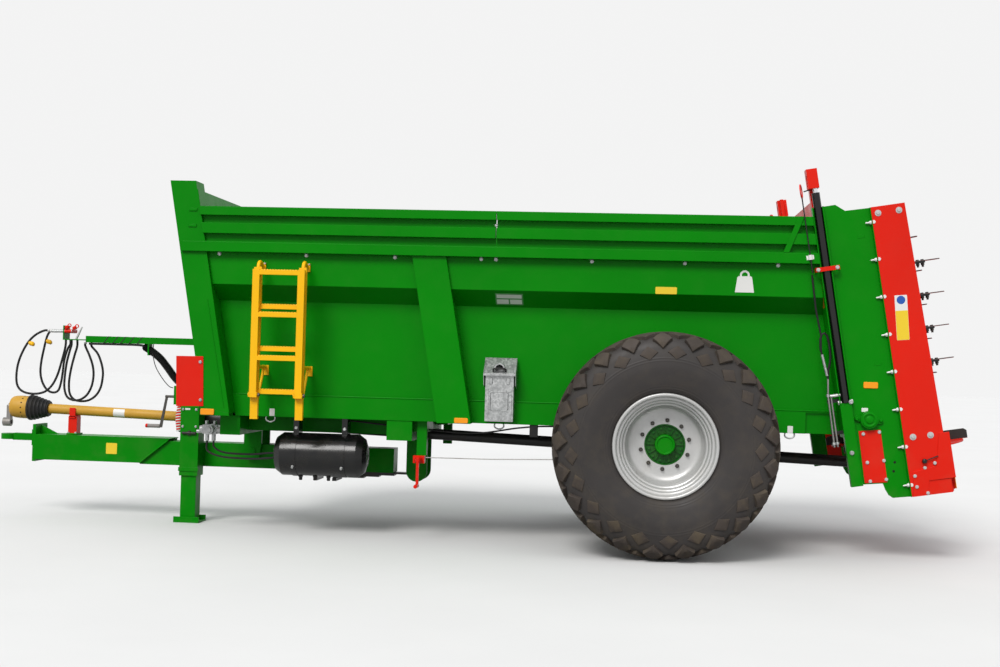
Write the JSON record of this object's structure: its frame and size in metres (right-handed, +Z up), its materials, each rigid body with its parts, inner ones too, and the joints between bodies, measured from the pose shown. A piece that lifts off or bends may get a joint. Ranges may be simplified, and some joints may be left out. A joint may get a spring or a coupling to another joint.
{
  "type": "manure spreader",
  "caption": "Single-axle manure spreader with a flared box, chain floor, guillotine gate and upright beaters, parked on its drawbar jack.",
  "frame": {"origin": "on the ground under the middle of the whole machine", "axes": "+X to the machine's rear, +Y to its right side, +Z up"},
  "size_m": [7.4422, 2.8756, 2.7137],
  "materials": {
    "green_paint": "glossy green machine paint",
    "red_paint": "glossy bright red machine paint",
    "yellow_paint": "glossy orange-yellow paint",
    "black_paint": "black chassis paint",
    "galvanised": "zinc-coated steel, dull",
    "rim_silver": "silver wheel paint",
    "tyre_rubber": "matt rubber with dust in the tread",
    "hose_rubber": "black hydraulic hose",
    "guard_yellow": "ochre moulded guard",
    "worn_steel": "dark worn steel",
    "chromed_rod": "polished cylinder rod"
  },
  "bodies": {
    "body": {"drawbar": "green_paint", "towing_eye": "galvanised", "leaf_spring": "black_paint", "front_frame": "green_paint", "chassis": "green_paint", "axle": "black_paint", "jack_sleeve": "green_paint", "jack_crank": "galvanised", "front_wall": "green_paint", "side_walls": "green_paint", "posts": "green_paint", "extension_boards": "green_paint", "floor": "worn_steel", "floor_chain": "worn_steel", "floor_shafts": "worn_steel", "floor_drive": "green_paint", "ladder_upper": "yellow_paint", "chock_box": "galvanised", "air_tank": "black_paint", "brake_valve": "galvanised", "handbrake": "red_paint", "guard_plate": "red_paint", "hose_arm": "green_paint", "hose_couplers": "galvanised", "hose_1": "hose_rubber", "hose_2": "hose_rubber", "hose_3": "hose_rubber", "hose_4": "hose_rubber", "pto_guard": "guard_yellow", "pto_cone": "black_paint", "pto_yoke": "galvanised", "pto_rest": "red_paint", "drive_line": "black_paint", "rear_posts": "green_paint", "side_panels": "green_paint", "cover_plates": "red_paint", "beater_housings": "red_paint", "beater_top_beam": "red_paint", "beater_base": "red_paint", "rear_lamps": "red_paint", "barrels": "black_paint", "cylinder_clamps": "red_paint", "cylinder_pipes": "black_paint"},
    "gate": {"gate": "red_paint", "rods": "chromed_rod"},
    "jack_leg": {"jack_leg": "green_paint"},
    "ladder_lower": {"ladder_lower": "yellow_paint"},
    "beater_left": {"beater_left": "red_paint"},
    "beater_right": {"beater_right": "red_paint"},
    "wheel_left": {"tyre_left": "tyre_rubber", "rim_left": "rim_silver", "hub_left": "green_paint"},
    "wheel_right": {"tyre_right": "tyre_rubber", "rim_right": "rim_silver", "hub_right": "green_paint"}
  },
  "joints": [
    {"name": "wheel_left_spin", "type": "hinge", "parent": "body", "child": "wheel_left", "pos_m": [1.535, -1.145, 0.77549], "axis": [0, 1, 0], "continuous": true},
    {"name": "wheel_right_spin", "type": "hinge", "parent": "body", "child": "wheel_right", "pos_m": [1.535, 1.145, 0.77549], "axis": [0, 1, 0], "continuous": true},
    {"name": "gate_lift", "type": "slide", "parent": "body", "child": "gate", "axis": [-0.1616, 0, 0.9869], "range_m": [0, 1.2]},
    {"name": "jack_extend", "type": "slide", "parent": "body", "child": "jack_leg", "axis": [0, 0, 1], "range_m": [0, 0.3]},
    {"name": "ladder_fold", "type": "hinge", "parent": "body", "child": "ladder_lower", "pos_m": [-1.209, -1.106, 1.03], "axis": [1, 0, 0], "range_deg": [0, 180]},
    {"name": "beater_left_spin", "type": "hinge", "parent": "body", "child": "beater_left", "pos_m": [3.2588, -0.455, 0.93928], "axis": [-0.1616, 0, 0.9869], "continuous": true},
    {"name": "beater_right_spin", "type": "hinge", "parent": "body", "child": "beater_right", "pos_m": [3.2588, 0.455, 0.93928], "axis": [-0.1616, 0, 0.9869], "continuous": true}
  ],
  "couplings": [
    {"joint": "beater_right_spin", "follows": "beater_left_spin", "ratio": -1}
  ]
}
